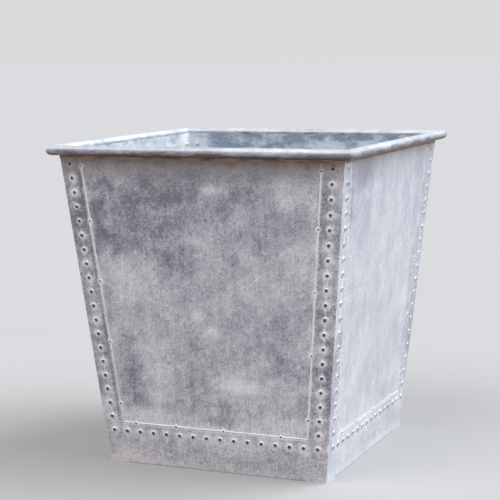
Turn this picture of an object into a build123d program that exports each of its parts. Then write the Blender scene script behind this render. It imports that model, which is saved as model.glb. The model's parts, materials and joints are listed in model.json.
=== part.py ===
from build123d import *
import os
from math import acos, asin, atan2, cos, hypot, pi, sin, tan

# Tapered square planter in galvanized steel sheet. Four wall sheets lean outwards and are held in a frame of
# bent corner angles and base bands, riveted on from outside. A rolled rim laps over the top of the walls, and
# a flanged pan carries the soil. The origin is the middle of the footprint on the ground, +Z is up, and the
# front face looks along -Y. Each piece is drawn at the front face or the front right corner, then turned
# round the upright axis for the other three. Lengths are in millimetres.

# Overall sizes
overall_height = 500.0
overall_width = 488.0
base_width = 362.0

# Sheet thicknesses
wall_thickness = 0.9
frame_thickness = 0.9
rim_thickness = 0.9
pan_thickness = 1.2

# Rolled rim: the roll, the flange that hangs below it, the gap where the roll closes, and how far below the
# middle of the roll the wall sheets stop
rim_diameter = 15.0
rim_flange_drop = 5.0
rim_roll_gap = 0.3
wall_top_drop = 1.5

# Corner angles and base bands
angle_leg = 33.0
angle_bend_radius = 1.1
band_height = 65.0
band_foot_width = 14.0
band_bend_radius = 1.0

# Base pan: height of its flange, its bends, the notches at its corners and its drain holes
pan_flange_height = 27.0
pan_bend_radius = 1.5
pan_corner_notch = 6.0
drain_hole_diameter = 10.0
drain_circle_diameter = 180.0
drain_holes_on_circle = 4

# Blind rivets
rivet_head_diameter = 9.6
rivet_head_height = 1.7
rivet_head_edge = 0.35
rivet_shank_diameter = 4.8
rivet_bore_diameter = 2.9
rivet_bore_depth = 2.2
rivet_dish_diameter = 5.6
rivet_dish_depth = 1.1
rivet_tail_diameter = 6.8
rivet_tail_length = 4.4
rivet_tail_tip_diameter = 3.6
rivet_hole_clearance = 0.05

# Rivet rows: counts with the corner rivets, and the distance to the edge of the sheet above
rivets_per_column = 20
rivets_per_row = 16
row_edge_distance = 13.0
column_edge_distance = 8.0

# Solder along the frame's inner edge and its tacks, placed by shares of each run
seam_radius = 1.1
tack_radius = 3.2
tack_height = 1.5
tack_crater_radius = 0.8
tack_crater_depth = 0.9
side_tack_shares = (0.075, 0.315, 0.545, 0.770, 0.972)
foot_tack_shares = (0.075, 0.297, 0.555, 0.858)

# Gap between pieces that lie close but aren't pressed together
seat_gap = 0.1
# How far a cutting body runs past what it cuts
overrun = 20.0

# Sizes that follow from those above
base_half = base_width / 2
rim_radius = rim_diameter / 2
rim_bore_radius = rim_radius - rim_thickness
rim_middle_out = overall_width / 2 - rim_radius
rim_middle_z = overall_height - rim_radius
rim_flange_foot = overall_height - rim_diameter - rim_flange_drop

# The wall leans so that the roll is tangent to the outside of the wall sheet
rim_offset = rim_radius - frame_thickness
spread = rim_middle_out - base_half
wall_tilt = atan2(spread, rim_middle_z) - asin(rim_offset / hypot(spread, rim_middle_z))
outward = Vector(0, -cos(wall_tilt), -sin(wall_tilt))
corner_run = Vector(tan(wall_tilt), -tan(wall_tilt), 1)

# Thicknesses as a level cut shows them
frame_level = frame_thickness / cos(wall_tilt)
wall_level = wall_thickness / cos(wall_tilt)

wall_foot = frame_thickness + band_bend_radius + seat_gap
wall_top = rim_middle_z - wall_top_drop
wall_edge_gap = angle_bend_radius + seat_gap
wall_inner_depth = frame_thickness + wall_thickness
pan_inner_depth = wall_inner_depth + pan_thickness
seam_inset = seam_radius + seat_gap
pan_lift = band_height - pan_flange_height
row_height = band_height - row_edge_distance
column_top = rim_flange_foot - column_edge_distance
column_inset = angle_leg / 2
rivet_hole_radius = rivet_shank_diameter / 2 + rivet_hole_clearance

face_names = ("front", "right", "back", "left")
corner_names = ("front_right", "back_right", "back_left", "front_left")


def face_distance(z, depth=0.0):
    """Distance from the upright axis to a face at height z, depth inside the frame's outer face."""
    return base_half + z * tan(wall_tilt) - depth / cos(wall_tilt)


def side_point(z, depth=0.0):
    """The same place as (Y, Z) in the section through the front face."""
    return (-face_distance(z, depth), z)


def field_half(z):
    """Half the width of the open field between the corner angles at height z."""
    return face_distance(z) - angle_leg


def sideways(section):
    """A (Y, Z) section drawn out along the whole front face."""
    return extrude(Plane.YZ * section, amount=overall_width / 2, both=True)


def mitre_wedge(gap=0.0):
    """The space in front of the upright axis between the two mitre planes, each set back by gap."""
    far = -overall_width - gap
    outline = Polyline((0, -gap), (overall_width, far), (-overall_width, far), close=True)
    return extrude(Pos(0, 0, -overrun) * make_face(outline), amount=overall_height + 2 * overrun)


def face_plane(x, z, depth=0.0):
    """A plane on the front face at (x, z), with its normal outward."""
    return Plane(origin=(x, -face_distance(z, depth), z), x_dir=(1, 0, 0), z_dir=outward)


def corner_prism(level_points, low, high, rounded=()):
    """A prism that follows the front right corner edge from height low to high.

    Its level section is given as (a, b): a inward from the right face, b inward from the front face.
    rounded holds (point index, radius) pairs.
    """
    edge = face_distance(low)
    section = make_face(Polyline([(edge - a, b - edge) for a, b in level_points], close=True))
    for index, radius in rounded:
        a, b = level_points[index]
        vertex = section.vertices().sort_by_distance((edge - a, b - edge, 0))[0]
        section = fillet(vertex, radius)
    return extrude(Pos(0, 0, low) * section, amount=(high - low) * corner_run.length, dir=corner_run)


def column_places(side):
    """Rivets of the column on one side of the front face (-1 left, 1 right), as (x, z) from the foot up."""
    pitch = (column_top - row_height) / (rivets_per_column - 1)
    heights = [row_height + pitch * i for i in range(rivets_per_column)]
    return [(side * (face_distance(z) - column_inset), z) for z in heights]


def row_places():
    """Rivets of the row at the foot of the front face, without the corner rivets."""
    half = face_distance(row_height) - column_inset
    pitch = 2 * half / (rivets_per_row - 1)
    return [(pitch * i - half, row_height) for i in range(1, rivets_per_row - 1)]


def rivet_holes(places):
    """Drills through the sheets at the given places of the front face."""
    drill = Cylinder(rivet_hole_radius, 2 * overrun)
    return [face_plane(x, z).location * drill for x, z in places]


def wall_sheet():
    """Flat wall behind the frame, bevelled towards its neighbours."""
    section = make_face(
        Polyline(
            side_point(wall_foot, frame_thickness),
            side_point(wall_top, frame_thickness),
            side_point(wall_top, wall_inner_depth),
            side_point(wall_foot, wall_inner_depth),
            close=True,
        )
    )
    sheet = sideways(section) & mitre_wedge(wall_edge_gap)
    return sheet - rivet_holes(column_places(-1) + column_places(1) + row_places())


def corner_angle_blank():
    """Bent angle along the front right corner, before drilling."""
    level_points = [
        (0, 0),
        (0, angle_leg),
        (frame_level, angle_leg),
        (frame_level, frame_level),
        (angle_leg, frame_level),
        (angle_leg, 0),
    ]
    bends = ((0, angle_bend_radius + frame_level), (3, angle_bend_radius))
    return corner_prism(level_points, 0, rim_flange_foot, bends)


def corner_angle():
    """The angle, drilled for the front face's right column and the right face's left column."""
    round_corner = [Rot(0, 0, 90) * drill for drill in rivet_holes(column_places(-1))]
    return corner_angle_blank() - rivet_holes(column_places(1)) - round_corner


def base_band_blank():
    """Band between the corner angles with its edge turned in underneath, before drilling."""
    foot_edge = band_foot_width - base_half
    outline = Polyline(
        side_point(band_height),
        side_point(0),
        (foot_edge, 0),
        (foot_edge, frame_thickness),
        side_point(frame_thickness, frame_thickness),
        side_point(band_height, frame_thickness),
        close=True,
    )
    section = make_face(outline)
    for z, depth, radius in (
        (0, 0, band_bend_radius + frame_thickness),
        (frame_thickness, frame_thickness, band_bend_radius),
    ):
        section = fillet(section.vertices().sort_by_distance((*side_point(z, depth), 0))[0], radius)
    low = -overrun
    high = band_height + overrun
    field = Polyline(
        (-field_half(low), low),
        (field_half(low), low),
        (field_half(high), high),
        (-field_half(high), high),
        close=True,
    )
    return sideways(section) & extrude(Plane.XZ * make_face(field), amount=overall_width, both=True)


def base_band():
    return base_band_blank() - rivet_holes(row_places())


def rim_point(radius, angle):
    """A point of the roll as (Y, Z), the angle in radians from inward and upward over the top."""
    return (radius * cos(angle) - rim_middle_out, radius * sin(angle) + rim_middle_z)


def rim():
    """Length of rolled rim with its flange outside the wall sheet, mitred at both ends."""
    start = wall_tilt
    end = wall_tilt + 2 * pi - acos((rim_bore_radius - rim_roll_gap) / rim_radius)
    outer = [rim_point(rim_radius, angle) for angle in (start, (start + end) / 2, end)]
    inner = [rim_point(rim_bore_radius, angle) for angle in (end, (start + end) / 2, start)]
    flange_inside = side_point(rim_flange_foot, frame_thickness)
    flange_outside = side_point(rim_flange_foot, frame_thickness - rim_thickness)
    outline = [
        Line(flange_inside, outer[0]),
        ThreePointArc(*outer),
        Line(outer[-1], inner[0]),
        ThreePointArc(*inner),
        Line(inner[-1], flange_outside),
        Line(flange_outside, flange_inside),
    ]
    return sideways(make_face(outline)) & mitre_wedge()


def base_pan():
    """Square pan with turned-up flanges inside the walls, notched at the corners and drilled."""
    outline = Polyline(
        (0, pan_lift),
        side_point(pan_lift, wall_inner_depth),
        side_point(band_height, wall_inner_depth),
        side_point(band_height, pan_inner_depth),
        side_point(pan_lift + pan_thickness, pan_inner_depth),
        (0, pan_lift + pan_thickness),
        close=True,
    )
    section = make_face(outline)
    for z, depth, radius in (
        (pan_lift, wall_inner_depth, pan_bend_radius + pan_thickness),
        (pan_lift + pan_thickness, pan_inner_depth, pan_bend_radius),
    ):
        section = fillet(section.vertices().sort_by_distance((*side_point(z, depth), 0))[0], radius)
    quarter = sideways(section) & mitre_wedge()
    corner_places = [column_places(-1)[0], column_places(1)[0]]
    quarter -= rivet_holes(corner_places + row_places())
    side = pan_corner_notch
    square = [(0, 0), (0, side), (side, side), (side, 0)]
    notch = corner_prism(square, pan_lift - overrun, band_height + overrun)
    quarter = quarter - notch - Rot(0, 0, -90) * notch
    pan = quarter
    for turn in (90, 180, 270):
        pan += Rot(0, 0, turn) * quarter
    drill = Pos(0, 0, pan_lift) * Cylinder(drain_hole_diameter / 2, 2 * overrun)
    drains = [place * drill for place in PolarLocations(drain_circle_diameter / 2, drain_holes_on_circle)]
    return pan - drill - drains


def rivet(grip):
    """Set blind rivet through sheets grip thick, with its head's underside at z = 0."""
    bore = rivet_bore_diameter / 2
    head = rivet_head_diameter / 2
    shank = rivet_shank_diameter / 2
    tail = rivet_tail_diameter / 2
    tail_tip = rivet_tail_tip_diameter / 2
    dish = (bore, rivet_head_height - rivet_dish_depth)
    tail_end = -grip - rivet_tail_length
    shoulder = (head, rivet_head_edge)
    crown = (rivet_dish_diameter / 2, rivet_head_height)
    outline = [
        Line((0, -rivet_bore_depth), (bore, -rivet_bore_depth)),
        Line((bore, -rivet_bore_depth), dish),
        Line(dish, crown),
        SagittaArc(crown, shoulder, (rivet_head_height - rivet_head_edge) / 4),
        Line(shoulder, (head, 0)),
        Line((head, 0), (shank, 0)),
        Line((shank, 0), (shank, -grip)),
        Line((shank, -grip), (tail, -grip)),
        Line((tail, -grip), (tail_tip, tail_end)),
        Line((tail_tip, tail_end), (0, tail_end)),
        Line((0, tail_end), (0, -rivet_bore_depth)),
    ]
    return revolve(Plane.XZ * make_face(outline), axis=Axis.Z)


def rivet_column(side):
    """The rivets of one column, the lowest of which also holds the pan."""
    foot, *others = column_places(side)
    short_rivet = rivet(wall_inner_depth)
    column = [face_plane(*foot).location * rivet(pan_inner_depth)]
    column += [face_plane(*place).location * short_rivet for place in others]
    return column


def rivet_row():
    """The rivets of the row at the foot, through band, wall and pan."""
    long_rivet = rivet(pan_inner_depth)
    return [face_plane(*place).location * long_rivet for place in row_places()]


def downward_slab():
    """A slab wider than the planter, from z = 0 down."""
    reach = 2 * overall_height
    return Box(reach, reach, overrun, align=(Align.CENTER, Align.CENTER, Align.MAX))


def seam_side(z):
    """Distance from the middle of the face to the solder run beside a corner angle."""
    return field_half(z) - seam_inset


def seam_solder():
    """Half-round run of solder along the frame's inner edge, down a side, along the foot and up again."""
    low = band_height + seam_inset
    high = rim_flange_foot + seam_radius
    turns = [(-seam_side(high), high), (-seam_side(low), low), (seam_side(low), low), (seam_side(high), high)]
    path = Polyline([(x, -face_distance(z, frame_thickness), z) for x, z in turns])
    start = Plane(origin=path @ 0, x_dir=-outward, z_dir=path % 0)
    run = sweep(start * Circle(seam_radius), path=path, transition=Transition.RIGHT)
    sheet_side = face_plane(0, 0, frame_thickness).location * downward_slab()
    return run - sheet_side - Pos(0, 0, rim_flange_foot) * Rot(180, 0, 0) * downward_slab()


def seam_tacks(solder, frame_pieces):
    """Low round tacks that sit astride the solder run and the frame's edge."""
    ball_radius = (tack_radius**2 + tack_height**2) / (2 * tack_height)
    dome = Pos(0, 0, tack_height - ball_radius) * Sphere(ball_radius) - downward_slab()
    crater = Cylinder(tack_crater_radius, tack_crater_depth, align=(Align.CENTER, Align.CENTER, Align.MAX))
    tack = dome - Pos(0, 0, tack_height) * crater
    heights = [band_height + (rim_flange_foot - band_height) * share for share in side_tack_shares]
    foot = band_height + seam_inset
    places = [(seam_side(z), z) for z in heights]
    places += [((2 * share - 1) * field_half(foot), foot) for share in foot_tack_shares]
    placed = [face_plane(x, z, frame_thickness).location * tack for x, z in places]
    trimmed = [tack - solder - frame_pieces for tack in placed]
    left_side = [mirror(tack, about=Plane.YZ) for tack in trimmed[: len(heights)]]
    return left_side + trimmed


def corner_solder():
    """Solder that closes the inside corner between two wall sheets, behind the angle's bend."""
    inner = frame_level + wall_level
    level_points = [
        (frame_level, frame_level),
        (frame_level, frame_level + wall_edge_gap),
        (inner, inner + wall_edge_gap),
        (inner + wall_edge_gap, inner),
        (frame_level + wall_edge_gap, frame_level),
    ]
    return corner_prism(level_points, wall_foot, wall_top, ((0, wall_edge_gap - seat_gap / 2),))


def save(name, shapes):
    """Write one node's solids to its own file."""
    os.makedirs("parts", exist_ok=True)
    whole = shapes[0] if len(shapes) == 1 else Compound(children=shapes)
    export_step(whole, f"parts/{name}.step")


def save_round(names, shapes):
    """Write a node and its three copies, a quarter turn apart."""
    for turn, name in enumerate(names):
        save(name, [Rot(0, 0, 90 * turn) * shape for shape in shapes])


angle_blank = corner_angle_blank()
frame_pieces = [angle_blank, Rot(0, 0, -90) * angle_blank, base_band_blank()]
solder = seam_solder()

save_round([f"wall_sheet_{name}" for name in face_names], [wall_sheet()])
save_round([f"corner_angle_{name}" for name in corner_names], [corner_angle()])
save_round([f"base_band_{name}" for name in face_names], [base_band()])
save_round([f"rim_{name}" for name in face_names], [rim()])
save_round([f"seam_solder_{name}" for name in face_names], [solder])
save_round([f"seam_tacks_{name}" for name in face_names], seam_tacks(solder, frame_pieces))
save_round([f"corner_solder_{name}" for name in corner_names], [corner_solder()])
save_round([f"rivets_{name}_face_left" for name in face_names], rivet_column(-1))
save_round([f"rivets_{name}_face_right" for name in face_names], rivet_column(1))
save_round([f"rivets_{name}_face_foot" for name in face_names], rivet_row())
save("base_pan", [base_pan()])
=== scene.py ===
import json
from math import cos, pi, radians, sin, tan

import bpy
from mathutils import Matrix, Vector, noise


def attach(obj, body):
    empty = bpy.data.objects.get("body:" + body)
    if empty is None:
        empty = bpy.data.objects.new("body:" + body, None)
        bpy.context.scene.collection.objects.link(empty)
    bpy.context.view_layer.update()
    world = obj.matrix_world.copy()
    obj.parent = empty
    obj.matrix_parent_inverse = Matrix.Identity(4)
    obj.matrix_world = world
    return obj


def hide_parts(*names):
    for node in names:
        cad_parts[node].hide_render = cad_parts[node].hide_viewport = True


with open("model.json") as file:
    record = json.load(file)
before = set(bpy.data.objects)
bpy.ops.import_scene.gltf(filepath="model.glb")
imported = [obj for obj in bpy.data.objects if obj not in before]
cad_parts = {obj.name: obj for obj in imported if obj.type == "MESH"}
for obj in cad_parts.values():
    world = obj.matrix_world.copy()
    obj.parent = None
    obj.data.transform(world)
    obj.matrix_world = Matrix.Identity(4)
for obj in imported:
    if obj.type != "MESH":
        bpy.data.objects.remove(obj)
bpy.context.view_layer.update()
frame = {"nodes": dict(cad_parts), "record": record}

# Tapered square planter in weathered galvanized sheet: materials for its pieces, and a plain studio.
# Lengths are in metres. The front face looks along -Y and the right face along +X.

# Where things are on the planter
base_half = 0.181
lean_angle = radians(5.6665)
lean = tan(lean_angle)
sheet_thickness = 0.0009
strip_width = 0.033
foot_seam_height = 0.065
flange_foot_height = 0.480
rim_middle_height = 0.4925
rim_radius = 0.0075
drain_circle_radius = 0.090

# Width at the corners over which one face goes over into the next
face_blend = 0.001

# Rivets: their columns beside the corners, and the row along the foot
column_inset = 0.0165
column_top_height = 0.472
column_gaps = 19
rivet_row_height = 0.052
row_gaps = 15
column_pitch = (column_top_height - rivet_row_height) / column_gaps
row_pitch = 2 * (base_half + rivet_row_height * lean - column_inset) / row_gaps
rivet_dish_radius = 0.0028
rivet_dish_blend = 0.0007

# Far enough from a rivet that nothing of it shows
out_of_reach = 0.05

# Tacks: places along the seam, as shares of its length from the foot up and from left to right
tack_side_shares = (0.075, 0.315, 0.545, 0.770, 0.972)
tack_foot_shares = (0.075, 0.297, 0.555, 0.858)

# Hand-laid solder: its middle from the frame's edge, its size, and how fine its sections are
solder_inset = 0.0012
solder_radius = 0.0011
solder_step = 0.0012
solder_sides = 7

# Unevenness along the solder: (waves to a metre, place in the noise), and the faces' places apart
solder_lumps = (210, 0.0)
solder_swells = (47, 5.5)
solder_wander = (33, 11.0)
solder_face_step = 9.7

# Zinc colours, from the dark bare metal to the pale dry patina
zinc_dark = (0.206, 0.197, 0.228, 1)
zinc_cool = (0.368, 0.361, 0.406, 1)
zinc_mid = (0.486, 0.473, 0.518, 1)
zinc_warm = (0.608, 0.584, 0.610, 1)
zinc_pale = (0.745, 0.718, 0.730, 1)
rim_grey = (0.440, 0.448, 0.490, 1)
rim_pale = (0.640, 0.662, 0.705, 1)
solder_pale = (0.850, 0.838, 0.845, 1)
# Blue mixed into the right face as a painted reflection of the bluish window light
sky_reflection_blue = (0.590, 0.690, 0.790, 1)
inner_deep = (0.280, 0.325, 0.400, 1)
inner_blue = (0.500, 0.558, 0.640, 1)
inner_pale = (0.715, 0.728, 0.728, 1)
inner_cool = (0.655, 0.700, 0.785, 1)
rust_orange = (0.310, 0.175, 0.112, 1)
rust_brown = (0.110, 0.062, 0.045, 1)
dirt_brown = (0.120, 0.088, 0.074, 1)
wash_brown = (0.290, 0.250, 0.238, 1)
# Near black, painted as shade in hollows: the rivets' dishes, the tacks' craters and the crevice under
# the rim
recess_shade_black = (0.020, 0.019, 0.020, 1)

# Mottling stays below this tone, so that the grain shows in the palest places too
palest_tone = 0.94

# How strong these are on a sheet: mottling, grain, gloom towards the top, haze towards the foot
wall_weather = (1.0, 1.0, 0.19, 0.10)
frame_weather = (0.90, 1.20, 0.05, 0.04)

# Depth of the relief, from waves in the sheet to its finest grain
wave_depth = 0.0022
etching_depth = 0.00045
grain_depth = 0.00016
solder_lump_depth = 0.0005
floor_grain_depth = 0.0002

# Every fade below is (where there is none of it, where there is all of it)

# Heights above the ground
gloom_heights = (0.30, 0.47)
lift_heights = (0.42, 0.28)
haze_heights = (0.240, 0.060)
# Where the painted light at the foot comes in
foot_light_heights = (0.080, 0.030)
bare_heights = (0.050, 0.085)
dry_edge_heights = (0.017, 0.004)
worn_foot_heights = (0.0032, 0.0012)
wash_heights = (0.440, 0.478)
dirt_heights = (0.466, 0.482)
faint_mark_heights = (0.456, 0.468)
rivet_grime_heights = (0.458, 0.470)
solder_stain_heights = (0.458, 0.480)
lower_inside_heights = (0.450, 0.250)
inner_shade_heights = (0.476, 0.486)

# Heights above the foot of the rim's flange
flange_rust = (0.0052, 0.0042)
# Where the painted shade in the crevice under the roll comes in
flange_crevice_shade = (0.0026, 0.0046)

# Heights above the row of rivets
column_end = (-0.008, -0.010)
column_run_start = (-0.002, 0.004)
drip_start = (0.0, -0.004)
drip_end = (-0.017, -0.008)

# Distances from a rivet's middle, and from the line of its column or row
rivet_ring = (0.0080, 0.0056)
rivet_halo = (0.0150, 0.0060)
column_run_reach = (0.0030, 0.0006)
drip_reach = (0.0026, 0.0008)

# Distances from the frame's inner edge: above zero on the wall, and below zero on the frame
smear_reach = (0.011, 0.002)
flux_line_reach = (0.0034, 0.0026)
side_flux_reach = (-0.0018, -0.0006)
foot_flux_reach = (-0.0042, -0.0008)
wiped_reach = (0.026, 0.004)
beside_foot_reach = (0.010, 0.003)

# The painted shadow line on the frame beside its inner edge: how far from the edge, how wide, and its
# lower end
shadow_line_inset = 0.0044
shadow_line_reach = (0.0030, 0.0008)
shadow_line_start = (0.0, 0.004)

# Distances from a tack's middle
tack_flux_reach = (0.0066, 0.0034)
tack_crater_shade_reach = (0.0017, 0.0011)

# Distances from the upright edge at a corner
corner_wear_and_highlight_reach = (0.0036, 0.0012)
inner_corner_reach = (0.054, 0.026)
side_wall_light_reach = (0.038, 0.016)

# Distance from a drain hole's middle
drain_mark_reach = (0.030, 0.008)

# Depths below the planter's outside, where a wall is from one to two sheet thicknesses deep
outside_depths = (sheet_thickness * 1.7, sheet_thickness * 1.3)
rivet_inside_depths = (0.0, sheet_thickness)
rim_grime_depths = (0.0045, -0.0015)
pan_dirt_depths = (0.026, 0.003)

# Places along X, and along Y where the right face comes towards the front
left_half = (0.02, -0.02)
rim_left_half = (0.06, -0.06)
rim_right_end = (0.13, 0.20)
front_half = (0.10, -0.10)

# Heights in rim radii, from -1 at the bottom of the roll to 1 at its top
# Where the painted light on the roll's top comes in
rim_lit_heights = (-0.75, 0.75)
rim_end_low = (0.6, -0.2)
rim_shaded_underside = (-0.25, -0.75)

# Tones
bare_sheet_tones = (0.95, 0.25)
bare_metal_tones = (0.90, 0.20)
cooler_tones = (0.40, 0.90)

# Values of a noise, where a mark is broken up by it
smear_breaks = (0.40, 0.60)
wiped_breaks = (0.44, 0.58)
halo_breaks = (0.34, 0.56)
column_run_breaks = (0.44, 0.56)
drip_breaks = (0.50, 0.60)
worn_foot_breaks = (0.35, 0.60)
haze_breaks = (0.35, 0.68)
rust_breaks = (0.36, 0.58)
crevice_shade_breaks = (0.62, 0.46)

# Distance from a patch's middle as a share of its size, and how ragged the patch is
patch_reach = (1.25, 0.15)
patch_raggedness = 1.6

# Patches on the panels: face, place, half width and height, and strength, which is above 0 for pale
# and below 0 for dark. A place is (x, z) on the front and the back, and (y, z) on the right.
panel_patches = (
    ("front", (0.016, 0.437), (0.019, 0.008), 0.38),
    ("front", (-0.012, 0.358), (0.023, 0.011), 0.32),
    ("front", (-0.014, 0.244), (0.016, 0.011), 0.25),
    ("front", (0.008, 0.220), (0.018, 0.013), 0.23),
    ("front", (0.053, 0.138), (0.044, 0.013), 0.43),
    ("front", (-0.100, 0.158), (0.036, 0.056), 0.32),
    ("front", (-0.140, 0.275), (0.035, 0.052), 0.14),
    ("front", (0.151, 0.336), (0.030, 0.045), 0.20),
    ("front", (0.143, 0.434), (0.046, 0.036), 0.43),
    ("front", (0.062, 0.347), (0.026, 0.024), 0.16),
    ("front", (-0.107, 0.083), (0.085, 0.014), 0.36),
    ("front", (0.123, 0.088), (0.056, 0.014), 0.25),
    ("front", (0.085, 0.285), (0.060, 0.040), 0.14),
    ("front", (-0.156, 0.215), (0.012, 0.040), 0.16),
    ("front", (-0.064, 0.190), (0.032, 0.034), 0.20),
    ("front", (-0.087, 0.107), (0.024, 0.022), 0.18),
    ("front", (0.105, 0.385), (0.045, 0.022), 0.14),
    ("front", (0.178, 0.400), (0.012, 0.050), 0.22),
    ("front", (-0.158, 0.132), (0.007, 0.028), 0.24),
    ("front", (-0.060, 0.155), (0.034, 0.024), 0.16),
    ("front", (-0.052, 0.422), (0.049, 0.020), -0.22),
    ("front", (-0.036, 0.332), (0.042, 0.025), -0.23),
    ("front", (-0.124, 0.150), (0.020, 0.060), -0.23),
    ("front", (0.122, 0.177), (0.028, 0.036), -0.20),
    ("front", (-0.113, 0.408), (0.024, 0.016), -0.14),
    ("front", (-0.160, 0.436), (0.024, 0.022), -0.25),
    ("front", (-0.174, 0.380), (0.016, 0.060), -0.28),
    ("front", (0.154, 0.160), (0.014, 0.040), -0.18),
    ("front", (-0.163, 0.240), (0.009, 0.042), -0.20),
    ("front", (-0.146, 0.093), (0.010, 0.012), -0.14),
    ("front", (-0.112, 0.375), (0.060, 0.052), -0.27),
    ("front", (0.066, 0.430), (0.039, 0.016), -0.09),
    ("front", (0.016, 0.400), (0.034, 0.020), -0.13),
    ("front", (0.042, 0.104), (0.042, 0.015), -0.16),
    ("front", (0.012, 0.082), (0.034, 0.012), -0.20),
    ("right", (0.165, 0.215), (0.024, 0.140), -0.20),
    ("right", (-0.130, 0.462), (0.090, 0.030), -0.32),
    ("right", (-0.185, 0.400), (0.022, 0.050), -0.14),
)

# Patches on the frame, in the same form
frame_patches = (
    ("front", (-0.152, 0.012), (0.050, 0.024), 0.26),
    ("front", (-0.184, 0.088), (0.014, 0.030), 0.32),
    ("front", (0.224, 0.440), (0.014, 0.060), 0.30),
    ("front", (0.200, 0.360), (0.012, 0.036), 0.14),
    ("front", (-0.165, 0.120), (0.010, 0.060), 0.20),
    ("front", (-0.197, 0.400), (0.013, 0.095), -0.27),
    ("front", (0.190, 0.180), (0.018, 0.100), -0.22),
    ("right", (-0.190, 0.130), (0.024, 0.120), -0.30),
    ("right", (0.190, 0.190), (0.022, 0.120), -0.20),
)

# Patches inside, in the same form
inner_patches = (
    ("back", (-0.156, 0.466), (0.036, 0.026), -0.28),
    ("back", (0.040, 0.466), (0.044, 0.026), 0.30),
    ("back", (0.118, 0.466), (0.044, 0.026), 0.28),
)

# Studio: lamps are (azimuth, elevation, spread, strength, colour)
ambient_colour = (0.700, 0.707, 0.720, 1)
lamps = {
    "window_light": (118, 42, 60, 3.90, (0.845, 0.940, 1.0)),
    "sky_light": (-32, 56, 40, 1.25, (0.970, 0.978, 1.0)),
}
floor_colour = (0.421, 0.404, 0.400, 1)
floor_shade = (0.405, 0.388, 0.384, 1)
floor_radius = 60
floor_sides = 64

# Camera, at the photograph's viewing angle
camera_azimuth = 23.169
camera_elevation = 7.949
camera_roll = -0.828
camera_distance = 2.348
camera_target = Vector((-0.01488, 0, 0.31747))
camera_lens = 104.465
camera_sensor_width = 36
camera_reach = 200


class Field:
    """A value or colour that varies over a surface: one output of a shader node."""

    def __init__(self, tree, output):
        self.tree = tree
        self.output = output

    def math(self, operation, *others):
        node = self.tree.nodes.new("ShaderNodeMath")
        node.operation = operation
        for value, socket in zip((self, *others), node.inputs):
            connect(value, socket)
        return Field(self.tree, node.outputs[0])

    def __add__(self, other):
        return self.math("ADD", other)

    def __sub__(self, other):
        return self.math("SUBTRACT", other)

    def __mul__(self, other):
        return self.math("MULTIPLY", other)

    def __truediv__(self, other):
        return self.math("DIVIDE", other)

    def __abs__(self):
        return self.math("ABSOLUTE")

    def lesser(self, other):
        return self.math("MINIMUM", other)

    def greater(self, other):
        return self.math("MAXIMUM", other)

    def clamped(self):
        node = self.tree.nodes.new("ShaderNodeClamp")
        connect(self, node.inputs[0])
        return Field(self.tree, node.outputs[0])

    def ramp(self, at_zero, at_one):
        """Smoothly from 0 where this is at_zero to 1 where it is at_one."""
        node = self.tree.nodes.new("ShaderNodeMapRange")
        node.interpolation_type = "SMOOTHSTEP"
        for value, name in ((self, "Value"), (at_zero, "From Min"), (at_one, "From Max")):
            connect(value, node.inputs[name])
        return Field(self.tree, node.outputs[0])

    def swing(self, size):
        """Noise, which goes from 0 to 1 about 0.5, made to swing about zero."""
        return (self - 0.5) * size

    def nearest_repeat(self, pitch):
        """Signed distance to the nearest whole number of pitches."""
        return ((self / pitch + 0.5).math("FRACT") - 0.5) * pitch


def connect(value, socket):
    """Feeds a field, or a plain value, into a node's input."""
    if isinstance(value, Field):
        value.tree.links.new(value.output, socket)
    else:
        socket.default_value = value


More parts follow.
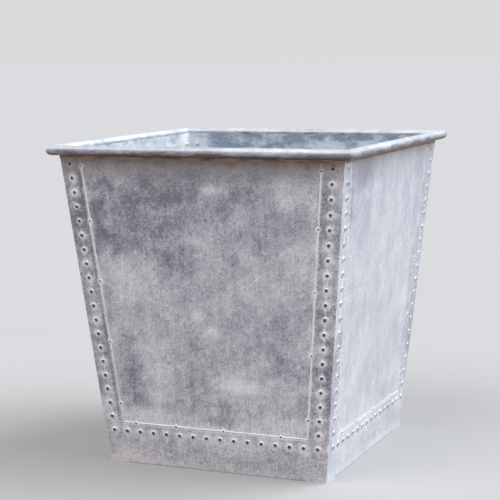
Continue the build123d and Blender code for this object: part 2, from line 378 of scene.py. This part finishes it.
class Surface:
    """A material in the making, with the fields that all the planter's materials share."""

    def __init__(self, name):
        self.material = bpy.data.materials.new(name)
        self.material.use_nodes = True
        self.tree = self.material.node_tree
        self.shader = self.tree.nodes["Principled BSDF"]
        coordinates = self.tree.nodes.new("ShaderNodeTexCoord")
        self.place = Field(self.tree, coordinates.outputs["Object"])
        split = self.tree.nodes.new("ShaderNodeSeparateXYZ")
        connect(self.place, split.inputs[0])
        self.x, self.y, self.z = [Field(self.tree, output) for output in split.outputs]

        # How far a point is from the upright edge at its corner, measured along its face, and how deep
        # it is below the planter's outside
        self.along = abs(self.x).lesser(abs(self.y))
        self.reach = abs(self.x).greater(abs(self.y))
        half_width = self.z * lean + base_half
        self.edge = half_width - self.along
        self.depth = half_width - self.reach
        self.outside = self.depth.ramp(*outside_depths)

        # Which face it belongs to, and how far along that face it is
        self.front = (self.y + abs(self.x)).ramp(0.0, -face_blend)
        self.right = (self.x - abs(self.y)).ramp(0.0, face_blend)
        self.back = (self.y - abs(self.x)).ramp(0.0, face_blend)
        self.sideways = (abs(self.x) - abs(self.y)).ramp(-face_blend / 2, face_blend / 2)
        self.side = self.x + (self.y - self.x) * self.sideways
        towards = (self.x - self.y).math("SIGN")
        self.face_right = self.side * towards

        # How far it is inside the field that the frame leaves open, or below zero on the frame itself
        self.into_field = (self.edge - strip_width).lesser(self.z - foot_seam_height)

    def weather(self):
        """Adds the noises that all the weathered metal shares, from broad clouds to fine grain."""
        self.clouds = self.noise(9, roughness=0.55, offset=3.1)
        self.blotches = self.noise(34, detail=5, roughness=0.62, offset=11.7)
        self.speckle = self.noise(150, roughness=0.65, offset=5.3)
        self.grain = self.noise(390, roughness=0.75, offset=8.9)
        self.brushing = self.noise((520, 520, 14), roughness=0.6, offset=2.2)
        self.runs = self.noise((90, 90, 7), roughness=0.55, offset=7.4)
        self.wisps = self.strokes(33, 0.110, 0.0150, offset=19.3)
        self.rising = self.strokes(44, 0.015, 0.0026, offset=13.6)
        self.falling = self.strokes(-50, 0.012, 0.0024, offset=27.2)
        self.upright = self.strokes(88, 0.016, 0.0024, offset=33.9)
        self.level = self.strokes(3, 0.012, 0.0024, offset=37.4)

    def by_face(self, rest, right):
        """One value on the right face, and another on the rest of the planter."""
        return self.right * (right - rest) + rest

    def joined(self, *parts):
        """A vector of up to three parts."""
        node = self.tree.nodes.new("ShaderNodeCombineXYZ")
        for value, socket in zip(parts, node.inputs):
            connect(value, socket)
        return Field(self.tree, node.outputs[0])

    def noise(self, scale, detail=3, roughness=0.55, offset=0.0, swirl=0.0, place=None):
        """Noise with features of about 1 / scale metres, where scale may differ along X, Y and Z."""
        stretch = scale if isinstance(scale, tuple) else (scale, scale, scale)
        placed = self.tree.nodes.new("ShaderNodeVectorMath")
        placed.operation = "MULTIPLY_ADD"
        connect(place or self.place, placed.inputs[0])
        placed.inputs[1].default_value = stretch
        placed.inputs[2].default_value = (offset, offset, offset)
        texture = self.tree.nodes.new("ShaderNodeTexNoise")
        texture.inputs["Scale"].default_value = 1
        texture.inputs["Detail"].default_value = detail
        texture.inputs["Roughness"].default_value = roughness
        texture.inputs["Distortion"].default_value = swirl
        self.tree.links.new(placed.outputs[0], texture.inputs["Vector"])
        return Field(self.tree, texture.outputs[0])

    def strokes(self, angle, length, width, offset):
        """Noise drawn out into strokes across a face, at an angle in degrees to the level."""
        turn = radians(angle)
        forward = self.side * cos(turn) + self.z * sin(turn)
        across = self.z * cos(turn) - self.side * sin(turn)
        place = self.joined(forward, across, self.reach)
        return self.noise((1 / length, 1 / width, 1 / width), offset=offset, swirl=0.9, place=place)

    def distance(self, *parts):
        """Length of a vector given by its two or three parts."""
        length = self.tree.nodes.new("ShaderNodeVectorMath")
        length.operation = "LENGTH"
        connect(self.joined(*parts), length.inputs[0])
        return Field(self.tree, length.outputs["Value"])

    def mix(self, share, first, second):
        """The first colour, going over to the second as share goes from 0 to 1."""
        node = self.tree.nodes.new("ShaderNodeMix")
        node.data_type = "RGBA"
        # The node's sockets for colours are its inputs 6 and 7 and its output 2
        for value, index in ((share, 0), (first, 6), (second, 7)):
            connect(value, node.inputs[index])
        return Field(self.tree, node.outputs[2])

    def colours(self, share, *stops):
        """A scale of colours; each stop is (share, colour)."""
        node = self.tree.nodes.new("ShaderNodeValToRGB")
        connect(share, node.inputs[0])
        points = node.color_ramp.elements
        while len(points) < len(stops):
            points.new(1)
        for point, (position, colour) in zip(points, stops):
            point.position = position
            point.color = colour
        return Field(self.tree, node.outputs[0])

    def relief(self, height, depth, below=None):
        """Bumps of the given depth, on top of those in below."""
        node = self.tree.nodes.new("ShaderNodeBump")
        node.inputs["Strength"].default_value = 1
        node.inputs["Distance"].default_value = depth
        connect(height, node.inputs["Height"])
        if below:
            connect(below, node.inputs["Normal"])
        return Field(self.tree, node.outputs[0])

    def finish(self, colour, metallic, roughness, normal):
        """Feeds the shader, and gives the finished material."""
        for value, name in (
            (colour, "Base Color"),
            (metallic, "Metallic"),
            (roughness, "Roughness"),
            (normal, "Normal"),
        ):
            connect(value, self.shader.inputs[name])
        return self.material


def from_rivets(surface):
    """Distance to the nearest rivet's middle, distances sideways from its column and its place in the
    row, and height above the row."""
    beside = surface.edge - column_inset
    above = surface.z - rivet_row_height
    column_up = above.nearest_repeat(column_pitch)
    # The columns end at the row, so that below it their rivets count as out of reach
    past_end = above.ramp(*column_end) * out_of_reach
    column_distance = surface.distance(beside, column_up) + past_end
    row_side = (surface.along + row_pitch / 2).nearest_repeat(row_pitch)
    row_distance = surface.distance(row_side, above)
    return column_distance.lesser(row_distance), beside, row_side, above


def from_tacks(surface):
    """Distance to the middle of the nearest tack on the solder beside the frame."""
    seam = surface.edge - strip_width - solder_inset
    nearest = None
    for share in tack_side_shares:
        height = foot_seam_height + (flange_foot_height - foot_seam_height) * share
        found = surface.distance(seam, surface.z - height)
        nearest = nearest.lesser(found) if nearest else found
    # At the foot the places are measured towards each face's own right, so all faces are alike
    foot = foot_seam_height + solder_inset
    half_field = base_half + foot * lean - strip_width
    for share in tack_foot_shares:
        place = surface.face_right - (2 * share - 1) * half_field
        nearest = nearest.lesser(surface.distance(place, surface.z - foot))
    return nearest


def tack_flux(surface):
    """Pale flux round the tacks on the seams."""
    return (from_tacks(surface) + surface.speckle.swing(0.0030)).ramp(*tack_flux_reach)


def zinc_tone(surface, mottled=1.0, streaked=1.0):
    """The broad mottling of weathered zinc: 0 dark and bare, 1 pale and dry."""
    spots = surface.clouds.swing(0.72) + surface.blotches.swing(0.62) + surface.wisps.swing(0.24)
    lines = surface.brushing.swing(0.30) + surface.runs.swing(0.34)
    return spots * mottled + lines * streaked + 0.49


def zinc_grain(surface):
    """The fine grain and short scratches on top of the mottling, either side of zero."""
    grains = surface.speckle.swing(0.60) + surface.grain.swing(1.25)
    slanted = surface.rising.swing(0.34) + surface.falling.swing(0.30)
    squared = surface.upright.swing(0.38) + surface.level.swing(0.44)
    return grains + slanted + squared


def zinc_roughness(surface, mean, fine=0.20):
    """Roughness that varies with the speckle and the grain."""
    return surface.speckle.swing(0.25) + surface.grain.swing(fine) + mean


def zinc_relief(surface):
    """Etched grain over the slight unevenness of sheet that was worked by hand."""
    waves = surface.noise(14, detail=1, roughness=0.4, offset=21.0)
    uneven = surface.relief(waves, wave_depth)
    etched = surface.relief(surface.blotches, etching_depth, uneven)
    return surface.relief(surface.grain, grain_depth, etched)


def patched(surface, tone, patches):
    """The tone with soft patches, ragged at their edges, added to it."""
    faces = {
        "front": (surface.front, surface.x),
        "right": (surface.right, surface.y),
        "back": (surface.back, surface.x),
    }
    for face, place, half_size, strength in patches:
        on_face, across = faces[face]
        side = (across - place[0]) / half_size[0]
        up = (surface.z - place[1]) / half_size[1]
        ragged = surface.speckle if strength > 0 else surface.blotches
        spread = surface.distance(side, up) + ragged.swing(patch_raggedness)
        tone = tone + spread.ramp(*patch_reach) * on_face * strength
    return tone


def panel_tone(surface, tone):
    """The tone of a wall's outside: listed patches, and pale flux beside the seams."""
    tone = patched(surface, tone, panel_patches)
    smear = surface.into_field.ramp(*smear_reach) * surface.blotches.ramp(*smear_breaks)
    line = (surface.into_field + surface.speckle.swing(0.002)).ramp(*flux_line_reach)

    # Flux that was wiped upwards from the seam at the foot, less of it on the right face
    wiped = surface.noise((240, 240, 26), roughness=0.6, offset=41.0)
    above_seam = surface.z - foot_seam_height
    upward = (above_seam + wiped.swing(0.050)).ramp(*wiped_reach) * wiped.ramp(*wiped_breaks)
    upward = upward * surface.by_face(1.0, 0.25)
    beside_foot = above_seam.ramp(*beside_foot_reach) * surface.front
    tone = tone + smear * 0.14 + line * 0.44 + upward * 0.42 + beside_foot * 0.14
    return tone + tack_flux(surface) * 0.50


def frame_tone(surface, tone):
    """The tone of the riveted frame: listed patches, pale flux, and rubbed edges, with a painted
    highlight along the corners.
    """
    tone = patched(surface, tone, frame_patches)
    rivet_distance, beside, row_side, above = from_rivets(surface)
    uneven = surface.speckle.swing(0.004)

    # Flux in a ring and a halo round each rivet, down each column, and dripping from the row
    ring = (rivet_distance + uneven * 0.7).ramp(*rivet_ring)
    halo = (rivet_distance + uneven * 2.5).ramp(*rivet_halo) * surface.blotches.ramp(*halo_breaks)
    lines = surface.noise((60, 60, 16), detail=2, offset=31.0)
    column_run = (abs(beside) + uneven * 0.3).ramp(*column_run_reach) * lines.ramp(*column_run_breaks)
    column_run = column_run * above.ramp(*column_run_start)
    drip = (abs(row_side) + uneven * 0.3).ramp(*drip_reach) * lines.ramp(*drip_breaks)
    drip = drip * above.ramp(*drip_end) * above.ramp(*drip_start)
    marks = ring * 0.36 + halo * 0.28 + column_run * 0.30 + drip * 0.40
    marks = marks * (surface.z.ramp(*faint_mark_heights) * -0.80 + 1.0)
    marks = marks + tack_flux(surface) * 0.42

    # Flux that ran over the frame's inner edge, farther at the foot, and a painted shadow line on the
    # frame beside it at the left of the front
    from_side = surface.edge - strip_width + uneven * 0.4
    from_foot = surface.z - foot_seam_height + uneven * 0.4
    flux = from_side.ramp(*side_flux_reach) * from_foot.ramp(*foot_flux_reach)
    flux = flux * surface.by_face(1.0, 0.75)
    painted_shadow_line = abs(from_side + shadow_line_inset).ramp(*shadow_line_reach) * from_foot.ramp(*shadow_line_start)
    painted_shadow_line = painted_shadow_line * surface.front * surface.x.ramp(*left_half)

    # The dry lower edge of the band, and edges rubbed bright at the foot and along the corners; along
    # the corners this is also a painted highlight, stronger on the right face
    dry = surface.z.ramp(*dry_edge_heights) * surface.by_face(1.0, 0.80)
    worn_foot = surface.z.ramp(*worn_foot_heights) * surface.blotches.ramp(*worn_foot_breaks)
    worn_corner_and_highlight = (surface.edge + uneven * 0.4).ramp(*corner_wear_and_highlight_reach)
    rubbed_and_highlit = worn_foot.greater(worn_corner_and_highlight * surface.by_face(0.30, 0.70))
    tone = tone + flux * 0.42 + dry * 0.16 - painted_shadow_line * 0.12
    tone = tone + marks * surface.by_face(1.0, 0.50) + rubbed_and_highlit * 0.34

    # Barer above the band, though hardly on the near part of the right face
    bare = surface.z.ramp(*bare_heights) * 0.13 + 0.03
    near_part = surface.right * surface.y.ramp(*front_half)
    return tone - bare * (near_part * -0.80 + 1.0)


def sheet_material(name, framed):
    """Weathered sheet: the wall panels, or the riveted frame on top of them."""
    surface = Surface(name)
    surface.weather()
    mottling, graining, gloom, haze = frame_weather if framed else wall_weather
    mottled = surface.by_face(mottling, mottling - 0.55)
    plain = zinc_tone(surface, mottled, surface.by_face(1.0, 0.70))
    grain = zinc_grain(surface) * surface.by_face(graining, graining - 0.50)
    right_light_clouds = surface.noise((24, 24, 15), detail=4, offset=51.0)

    # Darker towards the top, paler and drier towards the foot, and paler still at the foot as painted
    # light that stands in for light bounced up from below
    darker = surface.z.ramp(*gloom_heights) * gloom - surface.z.ramp(*lift_heights) * 0.05
    drier = surface.z.ramp(*haze_heights) * surface.brushing.ramp(*haze_breaks) * haze
    painted_foot_light = surface.z.ramp(*foot_light_heights) * surface.by_face(0.13, 0.03)
    tone = plain - darker * surface.by_face(1.0, 0.40) + drier + painted_foot_light
    tone = frame_tone(surface, tone) if framed else panel_tone(surface, tone)
    # Lighter on the right face, in broad soft clouds: painted light where the window light falls
    tone = tone + surface.right * (right_light_clouds.swing(0.45) + 0.16)
    tone = tone.lesser(palest_tone) + grain
    colour = surface.colours(
        tone.clamped(),
        (0.05, zinc_dark),
        (0.34, zinc_cool),
        (0.54, zinc_mid),
        (0.76, zinc_warm),
        (1.00, zinc_pale),
    )

    # Bluer on the right face: a painted reflection of the bluish window light
    colour = surface.mix(surface.right * 0.16, colour, sky_reflection_blue)

    # Brown under the rim, washing out downwards
    stained = surface.outside * surface.by_face(1.0, 0.40)
    wash_edge = surface.z + surface.blotches.swing(0.040) + surface.brushing.swing(0.012)
    colour = surface.mix(wash_edge.ramp(*wash_heights) * stained * 0.72, colour, wash_brown)
    colour = surface.mix(wash_edge.ramp(*dirt_heights) * stained * 0.60, colour, dirt_brown)

    if not framed:
        colour = surface.mix(surface.outside, inner_colour(surface, plain + grain), colour)

    metallic = tone.ramp(*bare_sheet_tones) * 0.45 + 0.35
    return surface.finish(colour, metallic, zinc_roughness(surface, 0.55), zinc_relief(surface))


def inner_colour(surface, plain):
    """The cloudy blue-grey inside: pale beside the corners, painted shade below the rim, painted light
    on the two side walls, duller lower down.
    """
    mist = surface.noise((38, 38, 60), detail=4, roughness=0.6, offset=61.0)
    lower = surface.z.ramp(*lower_inside_heights)
    clouded = plain.swing(0.6) + mist.swing(lower * -1.2 + 2.4)
    by_corner = (surface.edge + mist.swing(0.06)).ramp(*inner_corner_reach)
    # The two side walls are lighter: painted light where the window light falls on them
    tone = clouded + surface.sideways * 0.38 + by_corner * (lower * -0.27 + 0.42) + 0.46
    # Painted shade just below the rim
    tone = tone - surface.z.ramp(*inner_shade_heights) * 0.25
    tone = patched(surface, tone, inner_patches).clamped()
    blue = surface.colours(tone, (0.10, inner_deep), (0.50, inner_blue), (0.95, inner_pale))

    # Cooler on the front and the back wall, where less of the bluish window light falls
    cooler = tone.ramp(*cooler_tones) * (surface.sideways * -0.65 + 0.65)
    blue = surface.mix(cooler, blue, inner_cool)

    # Nearly white on the other two walls, close to the corners: painted light where the window light
    # falls on them
    painted_side_wall_light = (surface.edge + mist.swing(0.03)).ramp(*side_wall_light_reach) * surface.sideways
    blue = surface.mix(painted_side_wall_light, blue, solder_pale)
    grey = surface.colours(tone, (0.10, zinc_cool), (0.50, zinc_mid), (0.95, zinc_pale))
    return surface.mix(lower * 0.6, blue, grey)


def pan_material(name):
    """The base pan: dull sheet, dirty along the walls, with dried water marks round its drain holes."""
    surface = Surface(name)
    surface.weather()
    tone = (zinc_tone(surface) + zinc_grain(surface) + 0.02).clamped()
    colour = surface.colours(
        tone,
        (0.10, zinc_dark),
        (0.40, zinc_cool),
        (0.62, zinc_mid),
        (0.95, zinc_warm),
    )
    dirt = (surface.depth + surface.blotches.swing(0.050)).ramp(*pan_dirt_depths)
    outer_drain = surface.distance(surface.reach - drain_circle_radius, surface.along)
    drain = outer_drain.lesser(surface.distance(surface.x, surface.y))
    marks = (drain + surface.blotches.swing(0.030)).ramp(*drain_mark_reach)
    colour = surface.mix(dirt * 0.70, colour, wash_brown)
    colour = surface.mix(marks * 0.55, colour, dirt_brown)
    metallic = tone.ramp(*bare_sheet_tones) * 0.40 + 0.30
    return surface.finish(colour, metallic, zinc_roughness(surface, 0.62), zinc_relief(surface))


def rim_material(name):
    """The rolled rim: pale on top and grey below, which is painted light and shade on the roll,
    blotchy, and grimy below with painted shade there too.
    """
    surface = Surface(name)
    surface.weather()
    smudges = surface.noise((30, 30, 170), detail=5, roughness=0.68, offset=17.0)
    height = (surface.z - rim_middle_height) / rim_radius
    # Paler towards the top of the roll and greyer below: painted light and shade on the roll, broken up
    # by smudges
    lit_top = (height + smudges.swing(2.4)).ramp(*rim_lit_heights)
    mottling = zinc_tone(surface) - 0.5 + zinc_grain(surface) * 0.35
    tone = mottling * 0.85 + lit_top * 0.72 + 0.14

    # Duller on the left half and at the right end of the front, and a little on the right
    tone = tone - surface.x.ramp(*rim_left_half) * surface.front * 0.13 - surface.right * 0.10
    right_end = surface.x.ramp(*rim_right_end) * surface.front * height.ramp(*rim_end_low)
    tone = tone - right_end * 0.24
    colour = surface.colours(
        tone.clamped(),
        (0.12, zinc_dark),
        (0.42, zinc_cool),
        (0.66, rim_grey),
        (0.98, rim_pale),
    )

    # Grime on the outer underside, with painted shade under the roll, and rust on the flange below it
    grime_and_shade_below = (height + smudges.swing(3.2)).ramp(*rim_shaded_underside)
    grime = grime_and_shade_below * surface.depth.ramp(*rim_grime_depths)
    colour = surface.mix(grime * 0.85, colour, dirt_brown)
    above_flange = surface.z - flange_foot_height
    rust = surface.mix(smudges.ramp(*rust_breaks), rust_brown, rust_orange)
    # Near black in the crevice just below the roll: painted shade, broken up by the blotches
    crevice_shade = above_flange.ramp(*flange_crevice_shade) * surface.blotches.ramp(*crevice_shade_breaks)
    rust = surface.mix(crevice_shade, rust, recess_shade_black)
    colour = surface.mix(above_flange.ramp(*flange_rust) * 0.85, colour, rust)
    metallic = tone.ramp(*bare_metal_tones) * 0.40 + 0.30
    roughness = zinc_roughness(surface, 0.46, fine=0.15)
    return surface.finish(colour, metallic, roughness, zinc_relief(surface))


def solder_material(name):
    """Pale dull solder, with painted shade in the craters of its tacks."""
    surface = Surface(name)
    surface.weather()
    tone = zinc_tone(surface, 0.35, 0.7) + zinc_grain(surface)
    colour = surface.colours(
        (tone + surface.by_face(0.43, 0.07)).clamped(),
        (0.25, zinc_cool),
        (0.52, zinc_warm),
        (0.86, solder_pale),
    )
    # Painted shade in the crater of each tack
    crater_shade = (from_tacks(surface) + surface.speckle.swing(0.0008)).ramp(*tack_crater_shade_reach)
    colour = surface.mix(crater_shade, colour, recess_shade_black)
    stain = (surface.z + surface.blotches.swing(0.030)).ramp(*solder_stain_heights)
    colour = surface.mix(stain * surface.outside * 0.7, colour, dirt_brown)
    metallic = tone.ramp(*bare_metal_tones) * 0.30 + 0.25
    roughness = surface.speckle.swing(0.30) + 0.48
    lumps = surface.relief(surface.noise(420, detail=2, offset=4.0), solder_lump_depth)
    normal = surface.relief(surface.grain, grain_depth, lumps)
    return surface.finish(colour, metallic, roughness, normal)


def rivet_material(name):
    """Zinc-coated rivets: pale heads, with painted shade in the dish where the pin broke off."""
    surface = Surface(name)
    surface.weather()
    tone = zinc_tone(surface, 0.7) + zinc_grain(surface) - surface.right * 0.26
    colour = surface.colours(
        (tone + 0.20).clamped(),
        (0.25, zinc_cool),
        (0.50, zinc_warm),
        (0.85, solder_pale),
    )
    inside = surface.depth.ramp(*rivet_inside_depths)
    colour = surface.mix(inside, colour, inner_colour(surface, tone))
    grime = (surface.z + surface.blotches.swing(0.030)).ramp(*rivet_grime_heights)
    colour = surface.mix(grime * surface.front * 0.75, colour, wash_brown)
    # Painted shade in the rivet's dish, lighter on the right face, where the light falls into it
    bore_shade = from_rivets(surface)[0] + surface.speckle.swing(0.0010) + surface.right * 0.0004
    bore_shade = bore_shade.ramp(rivet_dish_radius + rivet_dish_blend, rivet_dish_radius - rivet_dish_blend)
    bore_shade = bore_shade * (inside * -1.0 + 1.0)
    colour = surface.mix(bore_shade * surface.by_face(0.90, 0.76), colour, recess_shade_black)
    metallic = bore_shade * -0.35 + 0.45
    roughness = surface.speckle.swing(0.30) + bore_shade * 0.30 + 0.52
    return surface.finish(colour, metallic, roughness, surface.relief(surface.grain, grain_depth))


def beside_frame(height):
    """How far the solder's middle line is from the middle of a wall, at the given height."""
    return base_half + height * lean - strip_width - solder_inset


def seam_route():
    """The middle line of the front wall's solder, as (x, z): down, along the foot, and up again."""
    low = foot_seam_height + solder_inset
    high = flange_foot_height
    return (
        Vector((-beside_frame(high), high)),
        Vector((-beside_frame(low), low)),
        Vector((beside_frame(low), low)),
        Vector((beside_frame(high), high)),
    )


def seam_stations(route):
    """Sections along the route, each as its middle and the direction across, mitred at the corners."""
    runs = [(end - start).normalized() for start, end in zip(route, route[1:])]
    crossings = [Vector((-run.y, run.x)) for run in runs]
    stations = []
    for index, (start, end) in enumerate(zip(route, route[1:])):
        across = crossings[index]
        count = int((end - start).length / solder_step)
        first = 1 if index else 0
        stations += [(start.lerp(end, step / count), across) for step in range(first, count)]
        if index + 1 < len(runs):
            mitre = (across + crossings[index + 1]).normalized()
            stations.append((end, mitre / mitre.dot(across)))
    stations.append((route[-1], crossings[-1]))
    return stations


def seam_noise(along, quarter, kind):
    """Unevenness of the solder at a length along its run, from -1 to 1 and different on each face."""
    waves, row = kind
    return noise.noise(Vector((along * waves, quarter * solder_face_step, row)))


def solder_bead(name, quarter):
    """Run of solder laid by hand on the wall beside the frame, uneven in width and height."""
    wall_out = Vector((0, -cos(lean_angle), -sin(lean_angle)))
    quarter_turn = Matrix.Rotation(pi / 2 * quarter, 3, "Z")
    vertices = []
    for number, (middle, across) in enumerate(seam_stations(seam_route())):
        along = number * solder_step
        lump = seam_noise(along, quarter, solder_lumps)
        swell = seam_noise(along, quarter, solder_swells)
        wander = seam_noise(along, quarter, solder_wander) * solder_radius * 0.18
        width = solder_radius * (1.0 + lump * 0.30 + swell * 0.30)
        height = solder_radius * (0.92 + lump * 0.38 + swell * 0.20)
        for side in range(solder_sides):
            angle = pi * side / (solder_sides - 1)
            flat = middle + across * (width * cos(angle) + wander)
            wall_y = -(base_half + flat.y * lean - sheet_thickness / cos(lean_angle))
            place = Vector((flat.x, wall_y, flat.y)) + wall_out * (height * sin(angle))
            vertices.append(quarter_turn @ place)

    last = len(vertices) - solder_sides
    faces = [tuple(range(solder_sides)), tuple(reversed(range(last, len(vertices))))]
    for start in range(0, last, solder_sides):
        beyond = start + solder_sides
        for side in range(solder_sides):
            following = (side + 1) % solder_sides
            faces.append((start + following, start + side, beyond + side, beyond + following))
    mesh = bpy.data.meshes.new(name)
    mesh.from_pydata(vertices, [], faces)
    mesh.shade_smooth()
    piece = bpy.data.objects.new(name, mesh)
    bpy.context.scene.collection.objects.link(piece)
    return piece


def lay_solder(material):
    """Puts hand-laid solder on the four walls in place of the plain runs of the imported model."""
    for quarter, face in enumerate(("front", "right", "back", "left")):
        bead = solder_bead(f"solder_bead_{face}", quarter)
        bead.data.materials.append(material)
        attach(bead, "root")
        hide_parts(f"seam_solder_{face}")


def dress(materials):
    """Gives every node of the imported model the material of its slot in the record."""
    for part in frame["record"]["subparts"]:
        slots = frame["nodes"][part["node"]].data.materials
        slots.clear()
        slots.append(materials[part["material_slot"]])


def direction(azimuth, elevation):
    """Unit vector away from the planter; azimuth 0 is in front of it and 90 is to its right."""
    level = cos(radians(elevation))
    side, ahead = sin(radians(azimuth)), -cos(radians(azimuth))
    return Vector((side * level, ahead * level, sin(radians(elevation))))


def light_room():
    """Even pale surroundings and two broad soft lights."""
    world = bpy.data.worlds.new("pale_room")
    world.use_nodes = True
    world.node_tree.nodes["Background"].inputs["Color"].default_value = ambient_colour
    bpy.context.scene.world = world

    for name, (azimuth, elevation, spread, strength, colour) in lamps.items():
        light = bpy.data.lights.new(name, "SUN")
        light.energy = strength
        light.color = colour
        light.angle = radians(spread)
        lamp = bpy.data.objects.new(name, light)
        lamp.rotation_mode = "QUATERNION"
        lamp.rotation_quaternion = direction(azimuth, elevation).to_track_quat("Z", "Y")
        bpy.context.scene.collection.objects.link(lamp)


def lay_floor():
    """Plain pale floor, fully matt, so that it looks as bright from every side."""
    turns = [2 * pi * side / floor_sides for side in range(floor_sides)]
    ring = [(floor_radius * cos(turn), floor_radius * sin(turn), 0) for turn in turns]
    mesh = bpy.data.meshes.new("floor")
    mesh.from_pydata(ring, [], [range(floor_sides)])
    floor = bpy.data.objects.new("floor", mesh)
    bpy.context.scene.collection.objects.link(floor)
    surface = Surface("floor_paint")
    surface.shader.inputs["Specular IOR Level"].default_value = 0
    colour = surface.mix(surface.noise(2.5, detail=2), floor_colour, floor_shade)
    normal = surface.relief(surface.noise(300, detail=2), floor_grain_depth)
    mesh.materials.append(surface.finish(colour, 0.0, 1.0, normal))


def photograph_camera():
    """Camera that sees the planter as the photograph does."""
    camera = bpy.data.objects.new("camera", bpy.data.cameras.new("camera"))
    camera.data.sensor_width = camera_sensor_width
    camera.data.lens = camera_lens
    camera.data.clip_end = camera_reach
    back = direction(camera_azimuth, camera_elevation)
    right = Vector((0, 0, 1)).cross(back).normalized()
    right = Matrix.Rotation(radians(camera_roll), 3, back) @ right
    axes = Matrix((right, back.cross(right), back)).transposed()
    camera.matrix_world = Matrix.LocRotScale(camera_target + back * camera_distance, axes, None)
    bpy.context.scene.collection.objects.link(camera)
    bpy.context.scene.camera = camera


bpy.context.scene.view_settings.view_transform = "Standard"
materials = {
    "wall_sheet": sheet_material("weathered_wall", framed=False),
    "frame_sheet": sheet_material("weathered_frame", framed=True),
    "rim": rim_material("weathered_rim"),
    "solder": solder_material("dull_solder"),
    "rivet": rivet_material("dull_rivet"),
    "pan": pan_material("weathered_pan"),
}
dress(materials)
lay_solder(materials["solder"])
light_room()
lay_floor()
photograph_camera()
